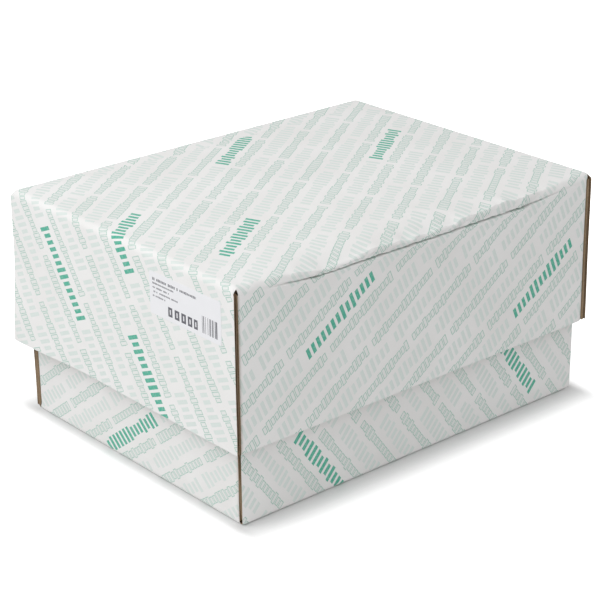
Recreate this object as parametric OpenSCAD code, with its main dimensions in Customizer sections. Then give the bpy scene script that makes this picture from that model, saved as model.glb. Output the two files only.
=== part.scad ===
// Continuous form paper in its two-piece carton: a deep lid slid over a deep base tray.
// Millimetres, Z up. The origin is on the floor, under the middle of the carton.
// X runs along the long walls, Y along the short ones, and the label is on the lid's -X face.

/* [Paper] */
// Width of the paper with its tractor strips
sheet_w = 380; // [240:1:420]
// Depth of one form between its folds, 11 inches
sheet_d = 279.4; // [200:0.1:310]
// Height of the folded stack
stack_h = 203.6; // [160:0.1:230]
// Height of one bundle of folds, as it shows on the stack's side
pleat_pitch = 6; // [4:0.5:12]
// Depth of the groove between two bundles of folds
pleat_depth = 1.2; // [0.5:0.1:2]
// Diameter of a tractor hole
hole_d = 4; // [3:0.1:5]
// Spacing of the tractor holes, half an inch
hole_pitch = 12.7; // [10:0.1:16]
// From the sheet's edge to the middle of its tractor holes
hole_edge = 6; // [5:0.5:9]

/* [Board] */
// Thickness of the corrugated board
board_t = 4; // [3:0.1:5]
// Thickness of one liner
liner_t = 0.4; // [0.3:0.05:0.6]
// Thickness of the fluted sheet between the liners
medium_t = 0.4; // [0.3:0.05:0.6]
// Length of one flute wave
flute_pitch = 7.9; // [6:0.1:10]
// How deep the open ends of the flutes are cut
mouth_depth = 8; // [4:0.5:14]
// How deep the channels run in an edge that is cut along the flutes
channel_depth = 2.5; // [1:0.5:5]

/* [Trays] */
// Height of the base's walls
wall_h = 142; // [110:1:150]
// Height of the lid's walls
skirt_h = 142; // [110:1:150]
// Gap between the paper and the base's short walls
sheet_gap_x = 1.5; // [0.5:0.1:4]
// Gap between the paper and the base's corner flaps
sheet_gap_y = 0.8; // [0.5:0.1:4]
// Gap between the base's short walls and the lid's corner flaps
lid_gap_x = 0.8; // [0.5:0.1:4]
// Gap between the base's long walls and the lid's
lid_gap_y = 3; // [0.5:0.1:5]
// Gap between the stack and the lid
lid_rest = 0.4; // [0.3:0.1:2]
// Length of a corner flap
flap_len = 95; // [60:1:110]
// How much narrower than its wall a corner flap is cut, at each side
flap_clear = 3; // [1:0.5:6]
// How much shorter a corner flap is at its open side
flap_taper = 12; // [0:1:30]
// Outer radius where a wall turns into its corner flap
corner_r = 3.5; // [2:0.1:4]
// Outer radius of the lid's long top edges, which are rounder than the other folds from wear
lid_fold_r = 6.5; // [4.5:0.1:8]

/* [Crushed edges of the lid] */
// Width of the strip along a long top edge that is pushed out of shape
bend_w = 30; // [26:1:40]
// How far the front top edge is pressed down
crush_d = 7.6; // [4:0.1:8]
// Depth of the crease along the back top edge
dish_d = 1.2; // [0.2:0.1:1.6]

/* [Print] */
// Spacing of two rows of one colour
row_pitch = 33; // [26:1:44]
// Width of a mid green row
mid_row_w = 9; // [5:0.5:12]
// Width of a pale green row
pale_row_w = 12; // [6:0.5:13]
// Slant of the rows on the lid's blank
lid_slant = 35; // [20:1:70]
// Slant of the rows on the base's blank
base_slant = 53.5; // [20:0.5:70]
// Spacing of the upright bars that a word of print is drawn with
bar_pitch = 6.4; // [4:0.1:10]
// Width of one upright bar
bar_w = 3.7; // [2:0.1:5]
// Spacing of the words in a row, in bars, with the gap between two words
word_bars = 15; // [6:1:20]
// How far the words of a row lie behind those of the row before it, as a share of a word
word_shift = 0.37; // [0:0.01:0.99]
// Thickness that the ink is drawn with
ink_t = 0.12; // [0.08:0.01:0.2]

/* [Label] */
// Width of the label
label_w = 92; // [60:1:120]
// Height of the label
label_h = 37; // [25:1:50]
// From the lid's front corner to the label
label_side = 16; // [8:1:60]
// From the lid's top to the label
label_drop = 15.5; // [8:0.5:50]
// Corner radius of the label
label_r = 2; // [1:0.5:4]
// Thickness of the label
label_t = 0.2; // [0.1:0.05:0.4]
// Width of the thinnest code bar
code_unit = 0.5; // [0.3:0.05:1]

/* [Hidden] */
$fn = 32;

// The paper fits inside the base, and the base inside the lid
base_l = sheet_w + 2 * (sheet_gap_x + board_t);
base_w = sheet_d + 2 * (sheet_gap_y + 2 * board_t);
lid_l = base_l + 2 * (lid_gap_x + 2 * board_t);
lid_w = base_w + 2 * (lid_gap_y + board_t);
lid_top = board_t + stack_h + lid_rest + board_t;
// Width of the lid's top that the paper doesn't carry, along each long edge
lip = (lid_w - sheet_d) / 2;
// Widths of the channels on both sides of the fluted sheet, which a cut edge crushes a little
channel_side = 1.25 * liner_t;
channel_w = (board_t - 2 * channel_side - medium_t) / 2;
channel_at = [channel_side, channel_side + channel_w + medium_t];
// Room that is left clear between one drawn thing and the next
margin = 0.375 * board_t;
// The outer liner turns round a fold at a radius of one board thickness
fold_r = board_t;
fold_w = fold_r + flap_clear;

// Bottom of a fold between a wall and the floor: the corner at 0,0, the floor along x, the wall along y
module fold_profile(run, rise) {
    difference() {
        union() {
            square([run, board_t]);
            square([board_t, rise]);
        }
        difference() {
            translate([-margin, -margin]) square(fold_r + margin);
            translate([fold_r, fold_r]) circle(fold_r);
        }
    }
}

// Open flute ends along a wall's rim, drawn in the rim's plane, centred on x, the wall's thickness along y
module flute_mouths(length) {
    count = floor((length - 2 * channel_depth - 2 * margin) / flute_pitch);
    half = flute_pitch / 2 - medium_t;
    low = liner_t + medium_t;
    for (i = [0 : count - 1]) translate([(i - (count - 1) / 2) * flute_pitch, 0]) {
        polygon([[-half, board_t - liner_t], [half, board_t - liner_t], [0, low]]);
        if (i < count - 1) translate([flute_pitch / 2, 0])
            polygon([[-half, liner_t], [0, board_t - low], [half, liner_t]]);
    }
}

// A wall that runs the whole length of its tray, with both ends cut raw along the flutes
module through_wall(through, depth) {
    difference() {
        rotate([90, 0, 90]) linear_extrude(through, center = true) fold_profile(board_t, depth);
        translate([0, 0, depth - mouth_depth]) linear_extrude(mouth_depth + margin) flute_mouths(through);
        for (end = [-1, 1], y = channel_at)
            translate([end * through / 2 - channel_depth, y, fold_w])
                cube([2 * channel_depth, channel_w, depth]);
    }
}

// A wall that stands between the two through walls, above its fold, with its rim cut along the flutes
module between_wall(length, depth, foot) {
    difference() {
        translate([0, -length / 2, foot]) cube([board_t, length, depth - foot]);
        for (end = [-1, 1]) corner_round(end * length / 2, -end, depth);
        for (x = channel_at)
            translate([x, corner_r - length / 2, depth - channel_depth])
                cube([channel_w, length - 2 * corner_r, 2 * channel_depth]);
    }
}

// The flap that is glued behind a through wall, at the y end of a between wall. Below the foot of that wall
// it starts behind the fold.
module corner_flap(y, inward, depth, foot) {
    low = fold_w;
    high = depth - flap_clear;
    difference() {
        translate([0, y + (inward < 0 ? -board_t : 0), 0]) translate([0, board_t, 0]) rotate([90, 0, 0])
            linear_extrude(board_t)
                polygon([[0, low], [flap_len, low], [flap_len - flap_taper, high], [0, high]]);
        corner_round(y, inward, depth);
        translate([-margin, y - 2 * board_t, fold_w - margin])
            cube([board_t + margin, 4 * board_t, foot - fold_w + margin]);
    }
}

// What is cut away outside the round turn between a wall and its flap
module corner_round(y, inward, depth) {
    difference() {
        translate([-margin, y - (inward > 0 ? margin : corner_r), 0])
            cube([corner_r + margin, corner_r + margin, depth + margin]);
        translate([corner_r, y + inward * corner_r, -margin]) cylinder(r = corner_r, h = depth + 3 * margin);
    }
}

// A tray folded from one blank, open side up. The walls at its y ends run through, and the walls at its
// x ends stand between them. The first child is the fold at -x, the second the fold at +x, mirrored.
module tray(through, across, depth, bend) {
    length = across - 2 * board_t;
    translate([bend - through / 2, -length / 2, 0]) cube([through - 2 * bend, length, board_t]);
    for (side = [0, 1]) {
        mirror([0, side, 0]) translate([0, -across / 2, 0]) through_wall(through, depth);
        mirror([side, 0, 0]) translate([-through / 2, 0, 0]) {
            children(side);
            between_wall(length, depth, bend);
            for (end = [-1, 1]) corner_flap(end * length / 2, -end, depth, bend);
        }
    }
}

// A sound fold, as long as a between wall
module plain_fold(length, bend) {
    rotate([90, 0, 0]) linear_extrude(length, center = true) fold_profile(bend, bend);
}

// The section of a long top edge, from the top panel round to the wall, as [from the wall, from the top]
crease_z = 1.65 * crush_d;
bend_r = lid_fold_r - board_t;
sound_outer = [[bend_w, 0], [1.25 * lip, 0], [0.9 * lip, 0], [0.55 * lip, 0], [lid_fold_r, 0],
               [0.5 * lid_fold_r, 0.134 * lid_fold_r], [0.134 * lid_fold_r, 0.5 * lid_fold_r],
               [0, lid_fold_r], [0, 0.91 * crease_z], [0, crease_z], [0, bend_w]];
sound_inner = [[bend_w, board_t], [1.12 * lip, board_t], [0.82 * lip, board_t], [0.58 * lip, board_t],
               [lid_fold_r, board_t], [board_t + 0.5 * bend_r, board_t + 0.134 * bend_r],
               [board_t + 0.134 * bend_r, board_t + 0.5 * bend_r], [board_t, lid_fold_r],
               [board_t, 0.91 * crease_z], [board_t, board_t + crease_z], [board_t, bend_w]];

// The same section where the edge is pressed down into a ridge, with an upright nose over a sharp crevice
crushed_outer = [[bend_w, 0], [1.25 * lip, 0.02 * crush_d], [0.82 * lip, 0.17 * crush_d],
                 [0.47 * lip, 0.42 * crush_d], [0.2 * lip, 0.72 * crush_d], [0.07 * lip, 0.92 * crush_d],
                 [0, 1.12 * crush_d], [0.02 * lip, 0.9 * crease_z], [0.17 * lip, 0.95 * crease_z],
                 [0, crease_z], [0, bend_w]];
crushed_inner = [[bend_w, board_t], [1.12 * lip, board_t], [0.82 * lip, board_t + 0.1 * crush_d],
                 [0.58 * lip, board_t + 0.36 * crush_d], [0.42 * lip, board_t + 0.62 * crush_d],
                 [0.37 * lip, board_t + 0.8 * crush_d], [0.36 * lip, board_t + 0.98 * crush_d],
                 [0.37 * lip, board_t + 1.12 * crush_d], [0.34 * lip, board_t + 1.3 * crush_d],
                 [board_t, board_t + crease_z], [board_t, bend_w]];

// The same section where the top panel has sunk onto the stack and left a crease
dished_outer = [[bend_w, 0], [1.25 * lip, 0.35 * dish_d], [0.9 * lip, dish_d], [0.55 * lip, 0.2 * dish_d],
                for (k = [4 : 10]) sound_outer[k]];

// How badly each edge is hurt, from the label's end of the lid to the far end, as [share of length, share]
crush_course = [[0, 0], [0.05, 0], [0.1, 0.15], [0.15, 0.5], [0.2, 0.95], [0.3, 1], [0.36, 0.8], [0.42, 0.85],
                [0.46, 1], [0.57, 0.95], [0.62, 0.75], [0.72, 0.65], [0.81, 0.5], [0.87, 0.3],
                [0.95, 0], [1, 0]];
dish_course = [[0, 0], [0.07, 0], [0.24, 0.8], [0.5, 1], [0.8, 1], [0.93, 0], [1, 0]];

// One face of a strip of four corners, as two triangles
function quad(a, b, c, d) = [[a, b, c], [a, c, d]];

// A fold whose section changes along its length, from sound to hurt and back, as the course says
module hurt_fold(length, sound, hurt, course, stations) {
    last = len(sound[0]) - 1;
    row = 2 * (last + 1);
    points = [for (i = [0 : stations]) let (share = lookup(i / stations, course)) for (s = [0, 1])
              for (k = [0 : last]) let (p = sound[s][k] * (1 - share) + hurt[s][k] * share)
              [p[0], length * (i / stations - 0.5), p[1]]];
    function at(i, s, k) = i * row + s * (last + 1) + k;
    faces = [for (i = [0 : stations - 1]) each [
        for (k = [0 : last - 1]) each
            quad(at(i, 0, k), at(i + 1, 0, k), at(i + 1, 0, k + 1), at(i, 0, k + 1)),
        for (k = [0 : last - 1]) each
            quad(at(i, 1, k), at(i, 1, k + 1), at(i + 1, 1, k + 1), at(i + 1, 1, k)),
        each quad(at(i, 0, 0), at(i, 1, 0), at(i + 1, 1, 0), at(i + 1, 0, 0)),
        each quad(at(i, 0, last), at(i + 1, 0, last), at(i + 1, 1, last), at(i, 1, last))]];
    caps = [for (k = [0 : last - 1]) each [
        each quad(at(0, 0, k), at(0, 0, k + 1), at(0, 1, k + 1), at(0, 1, k)),
        each quad(at(stations, 0, k), at(stations, 1, k), at(stations, 1, k + 1), at(stations, 0, k + 1))]];
    polyhedron(points, concat(faces, caps));
}

// Turns a tray over and a quarter round, and puts its floor at the lid's top
module as_lid() {
    translate([0, 0, lid_top]) rotate([180, 0, 90]) children();
}

module base() {
    color("whitesmoke") tray(base_l, base_w, wall_h, fold_w) {
        plain_fold(base_w - 2 * board_t, fold_w);
        plain_fold(base_w - 2 * board_t, fold_w);
    }
}

module lid() {
    length = lid_l - 2 * board_t;
    color("white") as_lid() tray(lid_w, lid_l, skirt_h, bend_w) {
        hurt_fold(length, [sound_outer, sound_inner], [crushed_outer, crushed_inner], crush_course, 24);
        hurt_fold(length, [sound_outer, sound_inner], [dished_outer, sound_inner], dish_course, 14);
    }
}

// The folded forms are one solid: its long sides show the bundles of folds, and its short sides are cut
module paper_stack() {
    half_pleats = 2 * round(stack_h / pleat_pitch);
    function side(sign, shift) = [for (k = [0 : half_pleats])
        [sign * (sheet_d / 2 - (k + shift) % 2 * pleat_depth), k * stack_h / half_pleats]];
    left = side(-1, 1);
    count = floor(sheet_d / hole_pitch);
    color("ivory") translate([0, 0, board_t]) difference() {
        rotate([90, 0, 90]) linear_extrude(sheet_w, center = true)
            polygon(concat(side(1, 0), [for (k = [half_pleats : -1 : 0]) left[k]]));
        for (end = [-1, 1], i = [0 : count - 1])
            translate([end * (sheet_w / 2 - hole_edge), (i - (count - 1) / 2) * hole_pitch, -margin])
                cylinder(d = hole_d, h = stack_h + 2 * margin, $fn = 10);
    }
}

// Rows of print on a flat blank, side by side at row_pitch, the first one shift of a pitch off the middle
module rows(slant, shift, width, l, w) {
    reach = norm([l, w]) / 2 + skirt_h;
    count = ceil(reach / row_pitch);
    rotate(slant) for (i = [-count : count])
        translate([-reach, (i + shift) * row_pitch - width / 2]) square([2 * reach, width]);
}

// A bold mark takes the place of one word in a pale row: tall upright bars on a low strip
mark_l = (word_bars - 1) * bar_pitch;
function word_start(mark) = (mark[1] - mark[0] * word_shift) * word_bars * bar_pitch;
module bold_mark(slant, mark) {
    rotate(slant) translate([word_start(mark), (mark[0] + 0.5) * row_pitch]) {
        translate([bar_pitch / 2, -0.35 * pale_row_w]) square([mark_l - bar_pitch, 0.7 * pale_row_w]);
        for (i = [0 : 3 : word_bars - 2])
            translate([(i + 0.5) * bar_pitch - bar_w / 2, -pale_row_w / 2]) square([bar_w, pale_row_w]);
    }
}

// The room that a bold mark takes up in its row
module mark_room(slant, mark) {
    rotate(slant) translate([word_start(mark) - margin, (mark[0] + 0.5) * row_pitch - pale_row_w])
        square([mark_l + 2 * margin, 2 * pale_row_w]);
}

// Where the bold marks are, as [row, word]
lid_marks = [[-9, -4], [-5, 0], [-4, -4], [-2, 0], [0, -2], [2, 1], [3, -1], [3, 3], [4, -2], [6, 0]];
base_marks = [[-7, -4], [-6, -1], [-1, -3], [2, 2], [5, 0]];

// Puts what is drawn on a tray's blank onto its four walls. The walls hang from the fold's height when
// turn is 0 and stand on it when turn is 1. start_x and start_y are where the drawing starts, past the
// folds of the walls at the x and the y ends.
module on_walls(l, w, depth, fold_z, turn, start_x, start_y) {
    for (side = [0, 1]) {
        translate([0, 0, fold_z]) mirror([0, side, 0]) translate([0, -w / 2, 0]) rotate([90, 0, 0])
            linear_extrude(ink_t) mirror([0, turn, 0]) translate([0, w / 2]) intersection() {
                mirror([0, side, 0]) children();
                translate([corner_r - l / 2, -w / 2 - depth + margin])
                    square([l - 2 * corner_r, depth - start_y - margin]);
            }
        translate([0, 0, fold_z]) mirror([side, 0, 0]) translate([-l / 2, 0, 0]) rotate([0, -90, 0])
            linear_extrude(ink_t) mirror([turn, 0, 0]) translate([l / 2, 0]) intersection() {
                mirror([side, 0, 0]) children();
                translate([-l / 2 - depth + margin, corner_r - w / 2])
                    square([depth - start_x - margin, w - 2 * corner_r]);
            }
    }
}

// Puts what is drawn on the lid's blank onto its walls and the flat of its top
module on_lid() {
    difference() {
        union() {
            on_walls(lid_l, lid_w, skirt_h, lid_top, 0, fold_r + margin, bend_w) children();
            translate([0, 0, lid_top]) linear_extrude(ink_t) intersection() {
                children();
                square([lid_l - 2 * fold_r - 2 * margin, lid_w - 2 * bend_w], center = true);
            }
        }
        label_frame() translate([-margin, -margin, -margin])
            cube([label_w + 2 * margin, label_h + 2 * margin, 2 * margin]);
    }
}

module on_base() {
    on_walls(base_l, base_w, wall_h, 0, 1, fold_r + margin, fold_r + margin) children();
}

module lid_print_pale() {
    color("gainsboro") on_lid() difference() {
        rows(lid_slant, 0.5, pale_row_w, lid_l, lid_w);
        for (mark = lid_marks) mark_room(lid_slant, mark);
    }
}

module lid_print_mid() {
    color("lightgray") on_lid() rows(lid_slant, 0, mid_row_w, lid_l, lid_w);
}

module lid_print_bold() {
    color("mediumaquamarine") on_lid() for (mark = lid_marks) bold_mark(lid_slant, mark);
}

module base_print_pale() {
    color("gainsboro") on_base() difference() {
        rows(base_slant, 0.5, pale_row_w, base_l, base_w);
        for (mark = base_marks) mark_room(base_slant, mark);
    }
}

module base_print_mid() {
    color("lightgray") on_base() rows(base_slant, 0, mid_row_w, base_l, base_w);
}

module base_print_bold() {
    color("mediumaquamarine") on_base() for (mark = base_marks) bold_mark(base_slant, mark);
}

// The label's lower left corner, as one who faces the label sees it, with x to the right and y up
module label_frame() {
    translate([-lid_l / 2, label_w + label_side - lid_w / 2, lid_top - label_drop - label_h])
        rotate([90, 0, -90]) children();
}

module label() {
    color("ghostwhite") label_frame() linear_extrude(label_t) union() {
        translate([label_r, 0]) square([label_w - 2 * label_r, label_h]);
        translate([0, label_r]) square([label_w, label_h - 2 * label_r]);
        for (x = [label_r, label_w - label_r], y = [label_r, label_h - label_r])
            translate([x, y]) circle(label_r, $fn = 16);
    }
}

// Plain bars for the lines of print, blocks for the large figures and a row of upright code bars
line_shares = [0.62, 0.3, 0.24, 0.36, 0.2];
code_bars = [2, 1, 1, 3, 1, 2, 1, 1, 2, 3, 1, 1];
block_count = 5;
module label_print() {
    inset = 2 * label_r;
    line_pitch = (label_h - 2 * inset) / 8;
    block_w = 0.06 * label_w;
    function bar_start(i) = i == 0 ? 0 : bar_start(i - 1) + (code_bars[i - 1] + 1) * code_unit;
    color("dimgray") label_frame() translate([0, 0, label_t]) linear_extrude(ink_t) {
        for (i = [0 : len(line_shares) - 1])
            translate([inset, label_h - inset - (i + 0.6) * line_pitch])
                square([line_shares[i] * label_w, (i == 0 ? 0.6 : 0.4) * line_pitch]);
        for (i = [0 : block_count - 1])
            translate([0.26 * label_w + i * 1.3 * block_w, inset]) square([block_w, 2.2 * line_pitch]);
        for (i = [0 : len(code_bars) - 1])
            translate([0.74 * label_w + bar_start(i), inset])
                square([code_bars[i] * code_unit, 4 * line_pitch]);
    }
}

base();
lid();
paper_stack();
label();
label_print();
lid_print_pale();
lid_print_mid();
lid_print_bold();
base_print_pale();
base_print_mid();
base_print_bold();
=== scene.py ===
"""A carton of continuous form paper: a folded base tray, the fanfold stack in it and the crushed lid."""
import math

import bpy
from mathutils import Matrix, Vector, noise


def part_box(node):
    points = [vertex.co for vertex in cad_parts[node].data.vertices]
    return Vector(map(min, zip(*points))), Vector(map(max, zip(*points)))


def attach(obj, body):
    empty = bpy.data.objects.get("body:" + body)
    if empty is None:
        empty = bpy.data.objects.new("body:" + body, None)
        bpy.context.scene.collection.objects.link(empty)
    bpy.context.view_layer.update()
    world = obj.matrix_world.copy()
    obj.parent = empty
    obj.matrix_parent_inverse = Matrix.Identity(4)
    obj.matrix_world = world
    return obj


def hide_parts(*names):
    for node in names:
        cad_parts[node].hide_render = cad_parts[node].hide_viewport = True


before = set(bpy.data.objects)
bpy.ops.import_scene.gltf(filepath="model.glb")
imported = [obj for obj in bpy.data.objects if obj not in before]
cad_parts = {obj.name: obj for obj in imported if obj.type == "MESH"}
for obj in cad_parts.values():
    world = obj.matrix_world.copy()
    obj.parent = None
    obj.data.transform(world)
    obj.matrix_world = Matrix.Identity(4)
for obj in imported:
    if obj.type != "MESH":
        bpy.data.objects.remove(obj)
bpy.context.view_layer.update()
mm = 0.001

# The camera stands where the photograph was taken from: to the left of the long side and above the lid,
# with a long lens and the film turned by less than a degree.
camera_place = Vector((-1031.7, -1202.3, 760.9)) * mm
camera_azimuth = math.radians(-40.49)
camera_elevation = math.radians(22.71)
camera_roll = math.radians(-0.64)
camera_data = bpy.data.cameras.new("camera")
camera_data.lens = 114.1
camera_data.sensor_width = 36
camera = bpy.data.objects.new("camera", camera_data)
bpy.context.scene.collection.objects.link(camera)
level = Matrix.Rotation(math.pi / 2 - camera_elevation, 4, "X")
camera.matrix_world = (Matrix.Translation(camera_place) @ Matrix.Rotation(camera_azimuth, 4, "Z")
                       @ level @ Matrix.Rotation(camera_roll, 4, "Z"))
bpy.context.scene.camera = camera

# The floor is a plain white sheet, wide enough to fill every view. It looks white to the camera by itself,
# and the carton's shadow darkens it. Near the carton a painted glow, for the camera only, grows with the
# distance from the carton's foot, so that the shadow fades out within a short reach.
floor_size = 60
bpy.ops.mesh.primitive_plane_add(size=floor_size)
floor = bpy.context.object
floor.name = "floor"


def add_node(tree, kind, **settings):
    """A shader node, with its settings."""
    node = tree.nodes.new("ShaderNode" + kind)
    for setting, value in settings.items():
        setattr(node, setting, value)
    return node


def sum_up(tree, operation, *values, clamp=False):
    """One step of arithmetic on sockets and numbers."""
    step = add_node(tree, "Math", operation=operation, use_clamp=clamp)
    for socket, value in zip(step.inputs, values):
        if isinstance(value, bpy.types.NodeSocket):
            tree.links.new(value, socket)
        else:
            socket.default_value = value
    return step.outputs[0]


floor_look = bpy.data.materials.new("white_floor")
floor_look.use_nodes = True
floor_tree = floor_look.node_tree
floor_tree.nodes.clear()
to_camera = add_node(floor_tree, "LightPath").outputs["Is Camera Ray"]
split = add_node(floor_tree, "SeparateXYZ")
floor_tree.links.new(add_node(floor_tree, "TexCoord").outputs["Object"], split.inputs[0])
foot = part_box("base")[1]
shadow_reach = 45 * mm
side_shadow_steeper = 2.4
from_middle = sum_up(floor_tree, "ABSOLUTE", split.outputs["X"])
off_side = sum_up(floor_tree, "MAXIMUM", sum_up(floor_tree, "SUBTRACT", from_middle, foot.x), 0.0)
off_side = sum_up(floor_tree, "MULTIPLY", off_side, side_shadow_steeper)
from_middle = sum_up(floor_tree, "ABSOLUTE", split.outputs["Y"])
off_front = sum_up(floor_tree, "MAXIMUM", sum_up(floor_tree, "SUBTRACT", from_middle, foot.y), 0.0)
away = sum_up(floor_tree, "SQRT", sum_up(floor_tree, "MULTIPLY_ADD", off_side, off_side,
                                         sum_up(floor_tree, "MULTIPLY", off_front, off_front)))
# Painted light: the near glow lifts the floor for the camera more the farther it lies from the carton's foot,
# and so shapes the shadow's soft edge.
near_glow = add_node(floor_tree, "MapRange", interpolation_type="SMOOTHSTEP")
near_glow.inputs["From Max"].default_value = shadow_reach
near_glow.inputs["To Max"].default_value = 0.6
floor_tree.links.new(away, near_glow.inputs["Value"])
far_glow = sum_up(floor_tree, "DIVIDE", away, 900 * mm, clamp=True)
glow = add_node(floor_tree, "Emission")
whole_glow = sum_up(floor_tree, "ADD", near_glow.outputs[0], far_glow)
floor_tree.links.new(sum_up(floor_tree, "MULTIPLY", to_camera, whole_glow), glow.inputs["Strength"])
paint = add_node(floor_tree, "BsdfDiffuse")
shade = sum_up(floor_tree, "MULTIPLY_ADD", to_camera, -0.04, 0.82)
floor_tree.links.new(shade, paint.inputs["Color"])
both = add_node(floor_tree, "AddShader")
floor_tree.links.new(paint.outputs[0], both.inputs[0])
floor_tree.links.new(glow.outputs[0], both.inputs[1])
floor_tree.links.new(both.outputs[0], add_node(floor_tree, "OutputMaterial").inputs["Surface"])
floor.data.materials.append(floor_look)

# The light is a broad soft box up on the label's side, with even light from all round, so that the label's
# side and the top are bright and the long side is in its own shade.
sky = bpy.data.worlds.new("even_light")
sky.use_nodes = True
nodes, links = sky.node_tree.nodes, sky.node_tree.links
even = nodes["Background"]
even.inputs["Color"].default_value = (1, 1, 1, 1)
even.inputs["Strength"].default_value = 0.68
white = nodes.new("ShaderNodeBackground")
seen = nodes.new("ShaderNodeLightPath")
swap = nodes.new("ShaderNodeMixShader")
links.new(seen.outputs["Is Camera Ray"], swap.inputs["Fac"])
links.new(even.outputs[0], swap.inputs[1])
links.new(white.outputs[0], swap.inputs[2])
links.new(swap.outputs[0], nodes["World Output"].inputs["Surface"])
bpy.context.scene.world = sky
bpy.context.scene.view_settings.view_transform = "Standard"

soft_box_data = bpy.data.lights.new("soft_box", "AREA")
soft_box_data.shape = "SQUARE"
soft_box_data.size = 1.3
soft_box_data.energy = 10.8
soft_box = bpy.data.objects.new("soft_box", soft_box_data)
soft_box.location = (-1.02, 0.1, 1.36)
aim = Vector((0, 0, 0.1)) - soft_box.location
soft_box.rotation_euler = aim.to_track_quat("-Z", "Y").to_euler()
bpy.context.scene.collection.objects.link(soft_box)

# Base: a tray of white-lined corrugated board, die cut as one blank and folded up. Its two long walls run
# through from end to end with raw ends, its short walls stand between them, and four corner flaps are glued
# behind the long walls. The blank is cut flat here, with its fluting in its open edges, and then folded.
board = 4 * mm
liner = 0.4 * mm
fluting = 0.3 * mm
flute_pitch = 7.9 * mm
mouth = 8 * mm
corner_bend = 4.2 * mm
flap_low = 7 * mm
flap_clear = 3 * mm
flap_length = 95 * mm
flap_taper = 12 * mm
wall_height = 142 * mm
tuck = board + 0.2 * mm


def spaced(start, stop, step):
    """Places from start to stop, about a step apart."""
    count = max(1, round((stop - start) / step))
    return [start + (stop - start) * i / count for i in range(count + 1)]


def in_order(*runs):
    """The places of several runs as one list, each place once."""
    places = []
    for place in sorted(p for run in runs for p in run):
        if not places or place - places[-1] > 0.05 * mm:
            places.append(place)
    return places


def both_ways(places):
    """The same places on both sides of the middle."""
    return in_order(places, [-place for place in places])


def add_panel(columns, rows):
    """A flat panel of the blank, printed side down, with vertices at the given places."""
    bpy.ops.mesh.primitive_grid_add(x_subdivisions=len(columns) - 1, y_subdivisions=len(rows) - 1, size=2)
    panel = bpy.context.object
    for vertex in panel.data.vertices:
        column = round((vertex.co.x + 1) / 2 * (len(columns) - 1))
        row = round((vertex.co.y + 1) / 2 * (len(rows) - 1))
        vertex.co = (columns[column], rows[row], 0)
    return panel


def select_faces(piece, wanted):
    """Opens a piece for editing with only the wanted faces selected."""
    bpy.ops.object.select_all(action="DESELECT")
    piece.select_set(True)
    bpy.context.view_layer.objects.active = piece
    bpy.ops.object.mode_set(mode="EDIT")
    bpy.ops.mesh.select_mode(type="FACE")
    bpy.ops.mesh.select_all(action="DESELECT")
    bpy.ops.object.mode_set(mode="OBJECT")
    for face in piece.data.polygons:
        face.select = wanted(face)
    bpy.ops.object.mode_set(mode="EDIT")


def join(pieces, name):
    """Makes several meshes one object."""
    bpy.ops.object.select_all(action="DESELECT")
    for piece in pieces:
        piece.select_set(True)
    bpy.context.view_layer.objects.active = pieces[0]
    bpy.ops.object.join()
    pieces[0].name = name
    return pieces[0]


def new_look(name, roughness):
    """A material with its surface shader's roughness set."""
    look = bpy.data.materials.new(name)
    look.use_nodes = True
    surface = look.node_tree.nodes["Principled BSDF"]
    surface.inputs["Roughness"].default_value = roughness
    return look, look.node_tree, surface


def mix_colours(tree, share, first, second):
    """One colour over another. Either may be a socket or a colour."""
    mix = add_node(tree, "Mix", data_type="RGBA")
    inputs = [s for s in mix.inputs if s.enabled]
    for socket, value in zip(inputs, (share, first, second)):
        if isinstance(value, bpy.types.NodeSocket):
            tree.links.new(value, socket)
        else:
            socket.default_value = value
    return [s for s in mix.outputs if s.enabled][0]


def cloudy(tree, place, scale, detail=3, low=0.35, high=0.65):
    """Soft random patches from 0 to 1, at a scale in patches per metre."""
    texture = add_node(tree, "TexNoise", noise_dimensions="3D")
    texture.inputs["Scale"].default_value = scale
    texture.inputs["Detail"].default_value = detail
    tree.links.new(place, texture.inputs["Vector"])
    spread = add_node(tree, "MapRange")
    spread.inputs["From Min"].default_value = low
    spread.inputs["From Max"].default_value = high
    tree.links.new(texture.outputs[0], spread.inputs["Value"])
    return spread.outputs[0]


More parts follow.
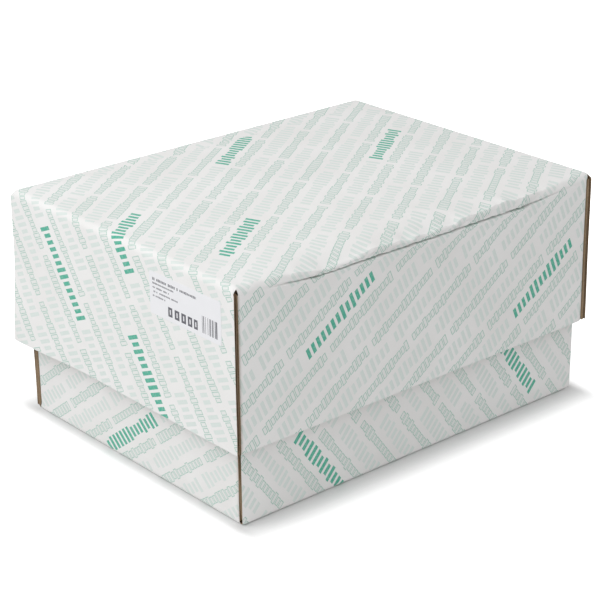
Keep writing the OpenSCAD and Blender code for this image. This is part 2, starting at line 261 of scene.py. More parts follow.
def bar_print(tree, along, across, row_shift, row_pitch, word, gap, bar_pitch, bar_share, tall, short,
              stroke, seed):
    """Rows of upright bars of several heights, in words with gaps between.

    Returns the bars, their outlines, and the numbers of row and word."""
    shifted = sum_up(tree, "ADD", across, row_shift)
    row = sum_up(tree, "FLOOR", sum_up(tree, "DIVIDE", shifted, row_pitch))
    height = sum_up(tree, "SUBTRACT", sum_up(tree, "WRAP", shifted, row_pitch, 0.0), row_pitch / 2)
    moved = sum_up(tree, "MULTIPLY_ADD", row, 0.37 * word, along)
    word_number = sum_up(tree, "FLOOR", sum_up(tree, "DIVIDE", moved, word))
    leaning = sum_up(tree, "MULTIPLY_ADD", height, -0.22, sum_up(tree, "WRAP", moved, word, 0.0))
    bar = sum_up(tree, "FLOOR", sum_up(tree, "DIVIDE", leaning, bar_pitch))
    in_bar = sum_up(tree, "SUBTRACT", sum_up(tree, "WRAP", leaning, bar_pitch, 0.0), bar_pitch / 2)
    pick = add_node(tree, "TexWhiteNoise", noise_dimensions="2D")
    where = add_node(tree, "CombineXYZ")
    tree.links.new(sum_up(tree, "ADD", bar, seed), where.inputs["X"])
    tree.links.new(sum_up(tree, "MULTIPLY_ADD", word_number, 3.0, row), where.inputs["Y"])
    tree.links.new(where.outputs[0], pick.inputs["Vector"])
    is_tall = sum_up(tree, "GREATER_THAN", pick.outputs["Value"], 0.55)
    half = sum_up(tree, "MULTIPLY_ADD", is_tall, (tall - short) / 2, short / 2)
    sides = sum_up(tree, "SUBTRACT", sum_up(tree, "ABSOLUTE", in_bar), bar_pitch * bar_share / 2)
    ends = sum_up(tree, "SUBTRACT", sum_up(tree, "ABSOLUTE", height), half)
    outside = sum_up(tree, "MAXIMUM", sides, ends)
    in_word = sum_up(tree, "MULTIPLY", sum_up(tree, "LESS_THAN", leaning, word - gap),
                     sum_up(tree, "GREATER_THAN", leaning, 0.0))
    bars = sum_up(tree, "MULTIPLY", sum_up(tree, "LESS_THAN", outside, 0.0), in_word)
    outline = sum_up(tree, "MULTIPLY", sum_up(tree, "GREATER_THAN", outside, -stroke), bars)
    return bars, outline, row, word_number


def add_ribs(tree, place, flutes_along_v, distortion):
    """The faint washboard that the flutes press into a liner, from 0 to 1."""
    ribs = add_node(tree, "TexWave", wave_type="BANDS", bands_direction="Y" if flutes_along_v else "X",
                    wave_profile="SIN")
    ribs.inputs["Scale"].default_value = 2 * math.pi / 20 / flute_pitch
    ribs.inputs["Distortion"].default_value = distortion
    ribs.inputs["Detail Scale"].default_value = 0.4
    tree.links.new(place, ribs.inputs["Vector"])
    return ribs.outputs[1]


def add_bump(tree, surface, height, strength, distance):
    """Raises a surface by a height that is drawn."""
    bump = add_node(tree, "Bump")
    bump.inputs["Strength"].default_value = strength
    bump.inputs["Distance"].default_value = distance
    tree.links.new(height, bump.inputs["Height"])
    tree.links.new(bump.outputs[0], surface.inputs["Normal"])


liner_shade = (0.83, 0.822, 0.81, 1)
liner_white = (0.87, 0.865, 0.858, 1)
fibre_fleck = (0.5, 0.44, 0.36, 1)
pale_green = (0.70, 0.77, 0.74, 1)
mid_green = (0.42, 0.60, 0.53, 1)
dark_green = (0.07, 0.44, 0.31, 1)


def printed_look(name, slant, flutes_along_v, marks):
    """White liner with the printed rows: outlined bars in mid green, solid ones in pale green, and marks."""
    look, tree, surface = new_look(name, 0.55)
    place = add_node(tree, "UVMap", uv_map="blank").outputs[0]
    turn = add_node(tree, "Mapping", vector_type="POINT")
    turn.inputs["Rotation"].default_value = (0, 0, -slant)
    tree.links.new(place, turn.inputs["Vector"])
    split = add_node(tree, "SeparateXYZ")
    tree.links.new(turn.outputs[0], split.inputs[0])
    along, across = split.outputs["X"], split.outputs["Y"]
    row_pitch = 33 * mm
    stroke = 0.8 * mm
    mid, mid_line, _, _ = bar_print(tree, along, across, row_pitch / 2, row_pitch, 88 * mm, 6 * mm,
                                    5.15 * mm, 0.86, 9.6 * mm, 7 * mm, stroke, 5.0)
    pale, _, row, word = bar_print(tree, along, across, 0.0, row_pitch, 96 * mm, 6.4 * mm,
                                   6.4 * mm, 0.58, 13.5 * mm, 9.5 * mm, stroke, 40.0)
    bold = 0.0
    for mark_row, mark_word in marks:
        here = sum_up(tree, "MULTIPLY", sum_up(tree, "COMPARE", row, mark_row, 0.5),
                      sum_up(tree, "COMPARE", word, mark_word, 0.5))
        bold = sum_up(tree, "ADD", bold, here)
    worn = cloudy(tree, place, 420, 4, 0.2, 0.55)
    patchy = cloudy(tree, place, 14, 3)
    paper = mix_colours(tree, patchy, liner_shade, liner_white)
    fleck = cloudy(tree, place, 900, 2, 0.62, 0.72)
    paper = mix_colours(tree, sum_up(tree, "MULTIPLY", fleck, 0.10), paper, fibre_fleck)
    strength = sum_up(tree, "MULTIPLY_ADD", worn, 0.35, 0.65)
    mid_ink = sum_up(tree, "MULTIPLY", sum_up(tree, "MULTIPLY_ADD", mid_line, 0.86, 0.14), mid)
    coloured = mix_colours(tree, sum_up(tree, "MULTIPLY", pale, strength), paper, pale_green)
    coloured = mix_colours(tree, sum_up(tree, "MULTIPLY", mid_ink, strength), coloured, mid_green)
    bold_ink = sum_up(tree, "MULTIPLY", sum_up(tree, "MULTIPLY", pale, bold), strength)
    coloured = mix_colours(tree, bold_ink, coloured, dark_green)
    tree.links.new(coloured, surface.inputs["Base Color"])
    grain = cloudy(tree, place, 1500, 3, 0.3, 0.7)
    ribs = add_ribs(tree, place, flutes_along_v, 0.6)
    height = sum_up(tree, "MULTIPLY_ADD", grain, 0.10, sum_up(tree, "MULTIPLY", ribs, 0.5))
    add_bump(tree, surface, height, 0.35, 0.25 * mm)
    return look


def kraft_look(name, flutes_along_v, dark):
    """Brown kraft liner with long fibres and the flutes' faint ribs. A dark share below 1 dims the brown as
    painted shade, as for the hollow cut edges and the fluting.
    """
    look, tree, surface = new_look(name, 0.75)
    place = add_node(tree, "UVMap", uv_map="blank").outputs[0]
    fibres = cloudy(tree, place, 700, 5, 0.3, 0.7)
    patches = cloudy(tree, place, 25, 2)
    brown = (0.30 * dark, 0.205 * dark, 0.12 * dark, 1)
    tan = (0.44 * dark, 0.315 * dark, 0.2 * dark, 1)
    mix = sum_up(tree, "MULTIPLY_ADD", patches, 0.3, sum_up(tree, "MULTIPLY", fibres, 0.7))
    tree.links.new(mix_colours(tree, mix, brown, tan), surface.inputs["Base Color"])
    ribs = add_ribs(tree, place, flutes_along_v, 0.8)
    add_bump(tree, surface, sum_up(tree, "MULTIPLY_ADD", fibres, 0.25, ribs), 0.5, 0.3 * mm)
    return look


def cut_blank(edge, end, bend, fold_steps, fold_places, end_places):
    """The blank of a tray whose fold lines lie at edge and end from its middle, first as one thin sheet."""
    foot = edge + flap_low
    rim = edge + wall_height
    corner = end - tuck
    turned = corner + corner_bend
    columns = in_order(fold_places, spaced(edge - bend, edge, bend / fold_steps))
    rows = in_order(end_places, [corner - corner_bend, corner], spaced(end - bend, end + bend, bend / 4),
                    spaced(end + bend, end + wall_height - 10 * mm, 12 * mm), [end + wall_height])
    low = in_order([p for p in columns if p <= edge])
    panels = [add_panel(both_ways(low), both_ways(rows))]
    up = in_order([p for p in fold_places if p > foot], [foot, rim - 10 * mm, rim - flap_clear, rim])
    start = in_order(spaced(edge, edge + bend, bend / fold_steps),
                     [p for p in fold_places if edge + bend < p < foot], [foot])
    shared = [row for row in rows if row <= corner - corner_bend + 0.01 * mm]
    turn = spaced(corner - corner_bend, turned, corner_bend / 3)
    flap = spaced(turned, turned + flap_length - 10 * mm, 14 * mm) + [turned + flap_length]
    for side in (-1, 1):
        beside = in_order([side * p for p in start])
        panels.append(add_panel(beside, both_ways([row for row in rows if row <= corner + 0.01 * mm])))
        above = in_order([side * p for p in up])
        panel = add_panel(above, both_ways(in_order(shared, turn, flap)))
        select_faces(panel, lambda face: abs(face.center.x) > rim - flap_clear
                     and abs(face.center.y) > turned)
        bpy.ops.mesh.delete(type="FACE")
        bpy.ops.object.mode_set(mode="OBJECT")
        for vertex in panel.data.vertices:
            past = abs(vertex.co.y) - turned
            if past > 0:
                rise = (abs(vertex.co.x) - foot) / (rim - flap_clear - foot)
                slanted = past * (1 - rise * flap_taper / flap_length)
                vertex.co.y = math.copysign(turned + slanted, vertex.co.y)
        panels.append(panel)
    return join(panels, "blank")


def make_board(blank, looks):
    """Gives the thin sheet the board's thickness and hollows its cut edges between the two liners.

    The looks are for the printed side, the inside and the cut edges, whose look carries painted shade."""
    for look in looks:
        blank.data.materials.append(look)
    bpy.ops.object.mode_set(mode="EDIT")
    bpy.ops.mesh.select_mode(type="VERT")
    bpy.ops.mesh.select_all(action="SELECT")
    bpy.ops.mesh.remove_doubles(threshold=0.02 * mm)
    bpy.ops.mesh.normals_make_consistent(inside=False)
    bpy.ops.object.mode_set(mode="OBJECT")
    if blank.data.polygons[0].normal.z < 0:
        bpy.ops.object.mode_set(mode="EDIT")
        bpy.ops.mesh.flip_normals()
        bpy.ops.object.mode_set(mode="OBJECT")
    thickness = blank.modifiers.new("thickness", "SOLIDIFY")
    thickness.thickness = board
    thickness.offset = 1
    bpy.ops.object.modifier_apply(modifier="thickness")
    select_faces(blank, lambda face: abs(face.normal.z) < 0.5)
    bpy.ops.mesh.inset(thickness=liner, use_even_offset=True)
    bpy.ops.mesh.extrude_region_shrink_fatten(TRANSFORM_OT_shrink_fatten={"value": -mouth,
                                                                          "use_even_offset": False})
    bpy.ops.object.mode_set(mode="OBJECT")
    for face in blank.data.polygons:
        flat = abs(face.normal.z) > 0.9
        printed = flat and face.center.z < 0.01 * mm
        inside = flat and face.center.z > board - 0.01 * mm
        face.material_index = 0 if printed else 1 if inside else 2


def flute_height(column, row):
    """How high the fluted sheet stands in the board. The flutes run along the rows and never quite true."""
    swing = board / 2 - liner - fluting / 2
    drift = 0.7 * noise.noise(Vector((row * 9, column * 3, 0.5)))
    return board / 2 + swing * math.sin(2 * math.pi * (column / flute_pitch + drift))


def add_fluting(edge, end, looks):
    """The strips of fluted sheet that show in the cut edges of the walls and flaps."""
    rim = edge + wall_height
    corner = end - tuck
    turned = corner + corner_bend
    far = turned + flap_length
    step = flute_pitch / 8
    strips = []
    for side in (-1, 1):
        def both(low, high, step_size):
            return in_order([side * p for p in spaced(low, high, step_size)])
        strips.append(add_panel(spaced(-edge, edge, step),
                                both(end + wall_height - mouth, end + wall_height, mouth)))
        for half in (-1, 1):
            cut = in_order([half * p for p in spaced(edge - mouth, edge, step)])
            strips.append(add_panel(cut, both(end + 2 * mm, end + wall_height - mouth, 10 * mm)))
            low = in_order([half * p for p in spaced(edge + flap_low, edge + flap_low + mouth, step)])
            high = in_order([half * p for p in spaced(rim - flap_clear - mouth, rim - flap_clear, step)])
            flap_rows = both(turned, far - flap_taper - mm, 12 * mm)
            strips += [add_panel(low, flap_rows), add_panel(high, flap_rows)]
        open_rim = in_order([side * p for p in spaced(rim - mouth, rim, step)])
        strips.append(add_panel(open_rim, both_ways(spaced(0, corner - corner_bend, 10 * mm))))
    sheet = join(strips, "fluting")
    for vertex in sheet.data.vertices:
        vertex.co.z = flute_height(vertex.co.x, vertex.co.y) - fluting / 2
    thickness = sheet.modifiers.new("thickness", "SOLIDIFY")
    thickness.thickness = fluting
    thickness.offset = 1
    bpy.ops.object.modifier_apply(modifier="thickness")
    for vertex in sheet.data.vertices:
        if edge < abs(vertex.co.x) < edge + mm:
            vertex.co.x = math.copysign(edge, vertex.co.x)
    for look in looks:
        sheet.data.materials.append(look)
    # The fluting takes the cut edges' look, which carries painted shade.
    for face in sheet.data.polygons:
        face.material_index = 2
    return sheet


def turn_up(past, depth, bend):
    """Where a point past the start of a round fold comes to lie: how far out and how far up."""
    angle = min(max(past / (2 * bend), 0), 1) * math.pi / 2
    reach = bend - depth
    return min(past, 0) + reach * math.sin(angle), bend - reach * math.cos(angle) + max(past - 2 * bend, 0)


def eased(share):
    """A share from 0 to 1 with a soft start and end."""
    share = min(max(share, 0), 1)
    return share * share * (3 - 2 * share)


def fold_point(point, edge, end, bend, turn_wall):
    """Where a point of the flat blank comes to lie in the folded tray, open side up."""
    column, row, depth = abs(point.x), abs(point.y), point.z
    past_edge = column - (edge - bend)
    past_end = row - (end - bend)
    out_end, up_end = turn_up(past_end, depth, bend)
    if column < edge + 0.1 * mm:
        flat = eased((past_end - past_edge) / bend)
        out_edge, up_edge = turn_wall(past_edge, depth, point.x, point.y)
        x = edge - bend + out_edge + (past_edge - out_edge) * flat
        y = end - bend + out_end
        z = up_end + (up_edge - depth) * (1 - flat)
        if past_end < past_edge:
            flat = eased((past_edge - past_end) / bend)
            y += (min(past_end, bend) - out_end) * flat
            z += (depth - up_end) * flat
    else:
        y = row
        corner = end - tuck - corner_bend
        inward = depth
        if row > corner:
            share = min((column - edge) / flap_low, 1)
            out_corner, in_corner = turn_up(row - corner, depth, corner_bend)
            y += (corner + out_corner - y) * share
            inward += (in_corner - depth) * share
        out_edge, up_edge = turn_wall(past_edge, inward, point.x, math.copysign(y, point.y))
        x = edge - bend + out_edge
        z = up_edge
    return Vector((math.copysign(x, point.x), math.copysign(y, point.y), z))


def fold(blank, sheet, name, edge, end, bend, turn_wall, stand, print_map):
    """Puts the fluting in the blank, keeps the flat places as its print map, and folds it."""
    tray = join([blank, sheet], name)
    tray.data.uv_layers.new(name="blank")
    places = [vertex.co.copy() for vertex in tray.data.vertices]
    for loop in tray.data.loops:
        tray.data.uv_layers["blank"].data[loop.index].uv = print_map(places[loop.vertex_index])
    for vertex in tray.data.vertices:
        vertex.co = stand(fold_point(vertex.co, edge, end, bend, turn_wall))
    bpy.ops.object.mode_set(mode="EDIT")
    bpy.ops.mesh.select_all(action="SELECT")
    bpy.ops.object.mode_set(mode="OBJECT")
    bpy.ops.object.shade_smooth_by_angle(angle=math.radians(32))
    return tray


base_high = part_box("base")[1]
base_edge = base_high.x
base_end = base_high.y
base_bend = tuck
base_bow = 1.2 * mm


def stand_base(point):
    """The base's walls bow a little."""
    bow = base_bow * noise.noise(Vector((point.x * 6, point.y * 6, point.z * 8 + 3)))
    high = eased(point.z / (60 * mm))
    if abs(point.y) > base_end - 6 * mm:
        point.y += math.copysign(bow * high, point.y)
    elif abs(point.x) > base_edge - 6 * mm:
        point.x += math.copysign(bow * high * eased((base_end - abs(point.y)) / (40 * mm)), point.x)
    return point


base_marks = [(-7, -4), (-6, -1), (-1, -3), (2, 2), (5, 0)]
# The cut edges' look is the kraft dimmed to 0.8: painted shade for the hollows of the cut edges and the
# fluting.
base_looks = (printed_look("base_print", math.radians(53.5), False, base_marks),
              kraft_look("base_kraft", False, 1.0), kraft_look("base_cut_edge_painted_shade", False, 0.8))
base_blank = cut_blank(base_edge, base_end, base_bend, 4,
                       in_order(spaced(0, base_edge - base_bend, 16 * mm),
                                spaced(base_edge + 14 * mm, base_edge + wall_height - 10 * mm, 12 * mm)),
                       spaced(0, base_end - tuck - corner_bend, 16 * mm))
make_board(base_blank, base_looks)
base = fold(base_blank, add_fluting(base_edge, base_end, base_looks), "base_tray", base_edge, base_end,
            base_bend, lambda past, depth, column, row: turn_up(past, depth, base_bend), stand_base,
            lambda place: (place.x, place.y))
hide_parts("base", "base_print_pale", "base_print_mid", "base_print_bold")
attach(base, "carton_base")

# Lid: the same board and the same kind of tray, upside down and a quarter turned, so that its short walls are
# the ones that run through. Its front top edge has been crushed into a nose over a dark crevice, its top has
# sunk along the back edge, and one corner of the label's wall is bent out at the rim.
lid_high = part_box("lid")[1]
lid_top = lid_high.z
lid_edge = lid_high.y
lid_end = lid_high.x
lid_bend = 6.5 * mm
ridge_drop = [(0, 0.1), (20, 0.5), (40, 1.8), (66, 4.4), (84, 7.6), (92, 8.8), (106, 8.6), (120, 8.2),
              (146, 5.0), (163, 5.7), (177, 6.7), (187, 8.2), (197, 6.9), (209, 7.7), (224, 6.6), (238, 7.4),
              (249, 4.4), (270, 4.4), (298, 1.9), (312, 3.8), (322, 3.4), (338, 3.3), (355, 2.8), (378, 1.1),
              (395, 0.3), (409, 0)]
ridge_place = -2.44
slump = [(-34, 0), (-27, 0.05), (-20, 0.16), (-14, 0.38), (-10, 0.6), (-7, 0.78), (-4.5, 0.92), (-2.44, 1)]
nose_drop = [(0, 0), (30, 0.05), (48, 0.3), (66, 0.65), (82, 0.95), (95, 1), (320, 1), (338, 0.75),
             (355, 0.4), (378, 0.1), (400, 0)]
crevice_place = 8
crevice_drop = 12.4
nose_share = [(-2.44, 0), (-1.6, 0.18), (0, 0.4), (2.4, 0.66), (4.9, 0.88), (6.5, 0.97), (7.5, 1.03),
              (8, 1.05)]
below_crevice = [(8, 5), (8.4, 4.7), (8.8, 4.4), (9.3, 4.1), (10, 3.8), (12, 3.1), (15, 2), (18, 1.1),
                 (22, 0.25), (26, 0)]
nose_out = [(-8, -8), (-6, -5.8), (-4.06, -3.7), (-2.44, -1.9), (-1.6, -1.1), (0, -0.7), (2.4, -0.7),
            (4.9, -1.1), (6.5, -2.6), (7.5, -4.6), (8, -5), (8.4, -3), (8.8, -1.1), (9.3, 0), (12, 0.1),
            (15, 0)]
crumple_out = 0.9
crumple_down = 0.5
valley_from_edge = [(0, 5), (50, 7.5), (96, 14.6), (201, 18), (334, 20), (409, 16)]
valley_depth = [(0, 0), (30, 0.5), (96, 1.2), (201, 1.5), (334, 1.4), (395, 0.7), (409, 0)]
slanted_creases = [((84, 8), (97, -2)), ((184, 8), (203, -1)), ((236, 8), (250, 0)), ((323, 8), (345, -2))]
crease_in = 1.6
crease_down = 0.6


def follow(course, at):
    """The value of a drawn curve at a place. It is smooth, and level past its ends."""
    if at <= course[0][0]:
        return course[0][1]
    if at >= course[-1][0]:
        return course[-1][1]
    i = next(k for k in range(len(course) - 1) if at < course[k + 1][0])

    def slope(k):
        before, after = course[max(k - 1, 0)], course[min(k + 1, len(course) - 1)]
        return (after[1] - before[1]) / (after[0] - before[0])

    (start, low), (stop, high) = course[i], course[i + 1]
    width = stop - start
    t = (at - start) / width
    return ((2 * t ** 3 - 3 * t ** 2 + 1) * low + (t ** 3 - 2 * t ** 2 + t) * width * slope(i)
            + (3 * t ** 2 - 2 * t ** 3) * high + (t ** 3 - t ** 2) * width * slope(i + 1))


def crease_share(x, past_edge):
    """How near a place is to one of the slanted creases across the nose, from 0 to 1."""
    share = 0
    for (x0, s0), (x1, s1) in slanted_creases:
        run = Vector((x1 - x0, s1 - s0))
        t = min(max((Vector((x - x0, past_edge - s0))).dot(run) / run.length_squared, 0), 1)
        gap = (Vector((x0, s0)) + run * t - Vector((x, past_edge))).length
        share = max(share, (1 - gap / 4.5) * (1 - 0.5 * t))
    return share


def turn_lid_wall(past, depth, column, place):
    """The fold of a long wall, with what has happened to the front or the back edge."""
    out, up = turn_up(past, depth, lid_bend)
    x = (place + lid_end) / mm
    past_edge = (past - lid_bend) / mm
    if column < 0:
        plain_out, plain_up = turn_up(past, 0, lid_bend)
        crumple = noise.noise(Vector((x / 5, past_edge / 2.5, 2)))
        crumple += 0.5 * noise.noise(Vector((x / 2.2, past_edge, 9)))
        drop = follow(ridge_drop, x) + 0.9 * noise.noise(Vector((x / 9, 4, 1)))
        if past_edge <= ridge_place:
            hurt_up = drop * follow(slump, past_edge)
        elif past_edge <= crevice_place:
            hurt_up = drop + (crevice_drop - drop) * follow(nose_share, past_edge)
        else:
            hurt_up = past_edge + follow(below_crevice, past_edge)
        hurt_out = plain_out / mm - lid_bend / mm
        if nose_out[0][0] < past_edge < nose_out[-1][0]:
            hurt_out = follow(nose_out, past_edge)
        in_nose = eased((past_edge + 7) / 5) * eased((9 - past_edge) / 2)
        hurt_out += (crumple_out * crumple - crease_in * crease_share(x, past_edge)) * in_nose
        hurt_up += crumple_down * crumple * in_nose + crease_down * crease_share(x, past_edge)
        share = follow(nose_drop, x)
        inner = 1 - 0.45 * min(depth / board, 1)
        out += (hurt_out * mm + lid_bend - plain_out) * share * inner
        up += (hurt_up * mm - plain_up) * share
        soft_drop = drop * follow(slump, min(past_edge, ridge_place))
        up += soft_drop * (1 - share) * eased((9 - past_edge) / 8) * mm
    elif past_edge < 0:
        across = (-past_edge - follow(valley_from_edge, x))
        valley = math.exp(-abs(across) / 2.2) + 0.25 * math.exp(-(across / 7) ** 2)
        up += follow(valley_depth, x) * valley * mm
    return out, up


lid_sag = 0.9 * mm
lid_rumple = 0.32 * mm
lid_bow = 1.4 * mm
rim_flare = 5.5 * mm


def stand_lid(point):
    """Puts a point of the folded tray in its place on the carton, with the slack of a used lid."""
    place = Vector((point.y, point.x, lid_top - point.z))
    if point.z < 2 * board:
        from_side = min(lid_end - abs(place.x), lid_edge - abs(place.y))
        inward = eased(from_side / (25 * mm))
        place.z += lid_sag * noise.noise(Vector((place.x * 11, place.y * 11, 7))) * inward
        rumpled = eased(2.2 * noise.noise(Vector((place.x * 14, place.y * 14, 3))) + 0.45)
        place.z += lid_rumple * noise.noise(Vector((place.x * 90, place.y * 190, 5))) * inward * rumpled
    hang = eased(point.z / wall_height)
    bow = lid_bow * noise.noise(Vector((place.x * 5, place.y * 5, place.z * 7 + 11))) * hang
    if abs(place.x) > lid_end - 6 * mm:
        place.x += math.copysign(bow, place.x)
    elif abs(place.y) > lid_edge - 6 * mm:
        place.y += math.copysign(bow * eased((lid_end - abs(place.x)) / (40 * mm)), place.y)
    if place.x < -lid_end + 8 * mm:
        flare = eased((place.y - 40 * mm) / (115 * mm)) * eased((point.z - 50 * mm) / (95 * mm))
        place.x -= rim_flare * flare
    return place


wall_places = [lid_edge + step * mm for step in (7, 7.5, 8, 8.4, 8.8, 9.3, 10, 11.5, 13, 15, 18, 22, 26, 30)]
lid_marks = [(-9, -4), (-5, 0), (-4, -4), (-2, 0), (0, -2), (2, 1), (3, -1), (3, 3), (4, -2), (6, 0)]
# The cut edges' look is the kraft dimmed to 0.8: painted shade for the hollows of the cut edges and the
# fluting.
lid_looks = (printed_look("lid_print", math.radians(35), True, lid_marks),
             kraft_look("lid_kraft", True, 1.0), kraft_look("lid_cut_edge_painted_shade", True, 0.8))
lid_blank = cut_blank(lid_edge, lid_end, lid_bend, 8,
                      in_order(spaced(0, lid_edge - 34 * mm, 14 * mm),
                               spaced(lid_edge - 34 * mm, lid_edge - lid_bend, 1.8 * mm), wall_places,
                               spaced(wall_places[-1], lid_edge + wall_height - 10 * mm, 12 * mm)),
                      spaced(0, lid_end - tuck - corner_bend, 2.6 * mm))
make_board(lid_blank, lid_looks)
lid = fold(lid_blank, add_fluting(lid_edge, lid_end, lid_looks), "lid_tray", lid_edge, lid_end, lid_bend,
           turn_lid_wall, stand_lid, lambda place: (place.y, place.x))
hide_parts("lid", "lid_print_pale", "lid_print_mid", "lid_print_bold")
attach(lid, "carton_lid")

# Label: a white self-adhesive paper label with rounded corners, stuck on the lid's short wall, so it bows
# with the board. Its print is generic: lines of small bars, plain blocks and bars that code nothing.
label_low, label_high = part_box("label")
label_thickness = 0.2 * mm
glue_gap = 0.03 * mm
label_corner = 2 * mm
label_ink = (0.05, 0.05, 0.07, 1)
label_white = (0.86, 0.862, 0.885, 1)
label_lines = [(4, 61, 30.8, 2.4, 1.9), (4, 31.6, 27.2, 1.5, 1.3), (4, 26, 23.6, 1.5, 1.3),
               (4, 37, 20, 1.5, 1.3), (4, 22, 16.3, 1.5, 1.3)]
label_blocks = [(24, 29.5), (32.5, 38.6), (41.2, 47.2), (49.6, 55.2), (57.4, 62.2)]
label_columns = spaced(label_low.y, label_high.y, 6 * mm)
label_rows = [place - lid_end - lid_top for place in spaced(label_low.z, label_high.z, 6 * mm)]
label = add_panel(label_columns, label_rows)
label.name = "label_sheet"
bpy.ops.object.mode_set(mode="EDIT")
bpy.ops.mesh.select_mode(type="VERT")
bpy.ops.mesh.select_all(action="DESELECT")
bpy.ops.object.mode_set(mode="OBJECT")
for vertex in label.data.vertices:
    off_column = min(vertex.co.x - label_columns[0], label_columns[-1] - vertex.co.x)
    off_row = min(vertex.co.y - label_rows[0], label_rows[-1] - vertex.co.y)
    vertex.select = max(off_column, off_row) < 0.1 * mm
bpy.ops.object.mode_set(mode="EDIT")
bpy.ops.mesh.bevel(offset=label_corner, segments=4, affect="VERTICES")
bpy.ops.object.mode_set(mode="OBJECT")
label_map = label.data.uv_layers.new(name="label")
for loop in label.data.loops:
    place = label.data.vertices[loop.vertex_index].co
    label_map.data[loop.index].uv = (label_high.y - place.x, place.y - label_rows[0])
for vertex in label.data.vertices:
    vertex.co.z = -glue_gap
    vertex.co = stand_lid(fold_point(vertex.co, lid_edge, lid_end, lid_bend, turn_lid_wall))
if label.data.polygons[0].normal.x > 0:
    bpy.ops.object.mode_set(mode="EDIT")
    bpy.ops.mesh.select_all(action="SELECT")
    bpy.ops.mesh.flip_normals()
    bpy.ops.object.mode_set(mode="OBJECT")
label_body = label.modifiers.new("thickness", "SOLIDIFY")
label_body.thickness = label_thickness
label_body.offset = 1
bpy.ops.object.modifier_apply(modifier="thickness")


def within(tree, place, low, high):
    """1 between two places, in millimetres, and 0 outside them."""
    return sum_up(tree, "MULTIPLY", sum_up(tree, "GREATER_THAN", place, low * mm),
                  sum_up(tree, "LESS_THAN", place, high * mm))


def cells(tree, place, pitch, seed):
    """Equal cells along a line: a random number for each, and the place in it from 0 to 1."""
    pitched = sum_up(tree, "DIVIDE", place, pitch * mm)
    pick = add_node(tree, "TexWhiteNoise", noise_dimensions="1D")
    tree.links.new(sum_up(tree, "ADD", sum_up(tree, "FLOOR", pitched), seed), pick.inputs["W"])
    return pick.outputs["Value"], sum_up(tree, "FRACT", pitched)


label_look, label_tree, label_surface = new_look("label_paper", 0.42)
label_place = add_node(label_tree, "UVMap", uv_map="label").outputs[0]
label_split = add_node(label_tree, "SeparateXYZ")
label_tree.links.new(label_place, label_split.inputs[0])
across_label, up_label = label_split.outputs["X"], label_split.outputs["Y"]
printed = 0.0
for number, (start, stop, level, tall, pitch) in enumerate(label_lines):
    chance, in_cell = cells(label_tree, across_label, pitch, number * 71.0)
    half = sum_up(label_tree, "MULTIPLY_ADD", chance, 0.5 * tall / 2 * mm, 0.6 * tall / 2 * mm)
    off = sum_up(label_tree, "ABSOLUTE", sum_up(label_tree, "SUBTRACT", up_label, level * mm))
    line = sum_up(label_tree, "MULTIPLY", within(label_tree, across_label, start, stop),
                  sum_up(label_tree, "LESS_THAN", off, half))
    line = sum_up(label_tree, "MULTIPLY", line, sum_up(label_tree, "GREATER_THAN", chance, 0.12))
    line = sum_up(label_tree, "MULTIPLY", line, sum_up(label_tree, "LESS_THAN", in_cell, 0.68))
    printed = sum_up(label_tree, "MAXIMUM", printed, line)
for start, stop in label_blocks:
    block = sum_up(label_tree, "MULTIPLY", within(label_tree, across_label, start, stop),
                   within(label_tree, up_label, 4, 12.2))
    middle = (start + stop) / 2
    slit = sum_up(label_tree, "MULTIPLY", within(label_tree, across_label, middle - 0.7, middle + 0.7),
                  within(label_tree, up_label, 6, 10.2))
    printed = sum_up(label_tree, "MAXIMUM", printed, sum_up(label_tree, "SUBTRACT", block, slit))
chance, _ = cells(label_tree, across_label, 0.5, 900.0)
code = sum_up(label_tree, "MULTIPLY", within(label_tree, across_label, 68, 88),
              within(label_tree, up_label, 4, 18.5))
code = sum_up(label_tree, "MULTIPLY", code, sum_up(label_tree, "GREATER_THAN", chance, 0.48))
printed = sum_up(label_tree, "MAXIMUM", printed, code)
rubbed = sum_up(label_tree, "MULTIPLY_ADD", cloudy(label_tree, label_place, 1300, 3, 0.25, 0.5), 0.25, 0.7)
clouded = mix_colours(label_tree, sum_up(label_tree, "MULTIPLY", cloudy(label_tree, label_place, 60), 0.06),
                      label_white, (0.6, 0.6, 0.66, 1))
inked = sum_up(label_tree, "MULTIPLY", printed, rubbed)
label_tree.links.new(mix_colours(label_tree, inked, clouded, label_ink), label_surface.inputs["Base Color"])
add_bump(label_tree, label_surface, cloudy(label_tree, label_place, 500, 4, 0.3, 0.7), 0.25, 0.08 * mm)
label.data.materials.append(label_look)
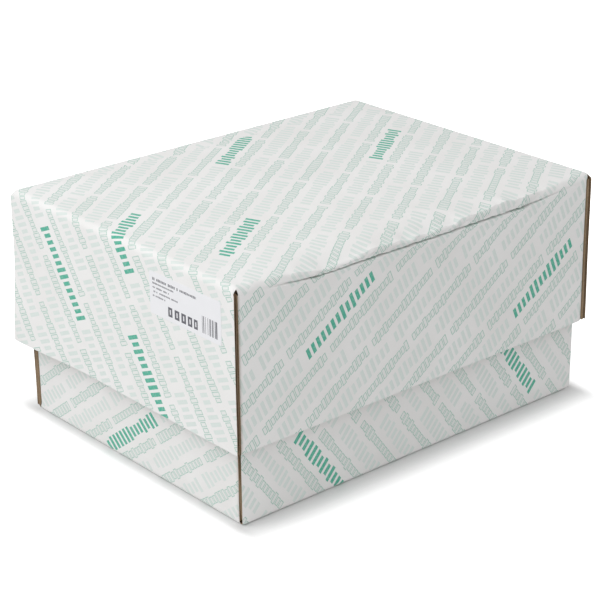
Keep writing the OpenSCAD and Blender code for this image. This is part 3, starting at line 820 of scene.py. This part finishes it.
bpy.ops.object.shade_smooth_by_angle(angle=math.radians(32))
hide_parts("label", "label_print")
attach(label, "carton_lid")

# Paper stack: one long web of white forms, folded to and fro at its cross perforations and laid in the
# base. It stays the solid from the frame, and its paper shows the sheets and the margins' perforations.
stack_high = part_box("paper_stack")[1]
margin = 12.7 * mm
margin_line = stack_high.x - margin
forms_white = (0.87, 0.87, 0.85, 1)
between_sheets = (0.62, 0.61, 0.58, 1)
cut_shade = (0.4, 0.4, 0.38, 1)
stack_look, stack_tree, stack_surface = new_look("form_paper", 0.7)
stack_place = add_node(stack_tree, "TexCoord").outputs["Object"]
layered = add_node(stack_tree, "Mapping", vector_type="POINT")
layered.inputs["Scale"].default_value = (5, 5, 1600)
stack_tree.links.new(stack_place, layered.inputs["Vector"])
sheets = cloudy(stack_tree, layered.outputs[0], 1, 3, 0.3, 0.7)
stack_split = add_node(stack_tree, "SeparateXYZ")
stack_tree.links.new(stack_place, stack_split.inputs[0])
on_side = sum_up(stack_tree, "LESS_THAN", stack_split.outputs["Z"], stack_high.z - 0.2 * mm)
off_middle = sum_up(stack_tree, "ABSOLUTE", stack_split.outputs["X"])
off_line = sum_up(stack_tree, "ABSOLUTE", sum_up(stack_tree, "SUBTRACT", off_middle, margin_line))
in_dash = sum_up(stack_tree, "WRAP", stack_split.outputs["Y"], 2.5 * mm, 0.0)
dash = sum_up(stack_tree, "LESS_THAN", in_dash, 1.6 * mm)
perforated = sum_up(stack_tree, "MULTIPLY", sum_up(stack_tree, "LESS_THAN", off_line, 0.15 * mm), dash)
side_shade = sum_up(stack_tree, "MULTIPLY", sum_up(stack_tree, "MULTIPLY", sheets, on_side), 0.55)
forms = mix_colours(stack_tree, side_shade, forms_white, between_sheets)
forms = mix_colours(stack_tree, sum_up(stack_tree, "MULTIPLY", perforated, 0.6), forms, cut_shade)
stack_tree.links.new(forms, stack_surface.inputs["Base Color"])
add_bump(stack_tree, stack_surface, sheets, 0.4, 0.2 * mm)
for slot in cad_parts["paper_stack"].material_slots:
    slot.material = stack_look
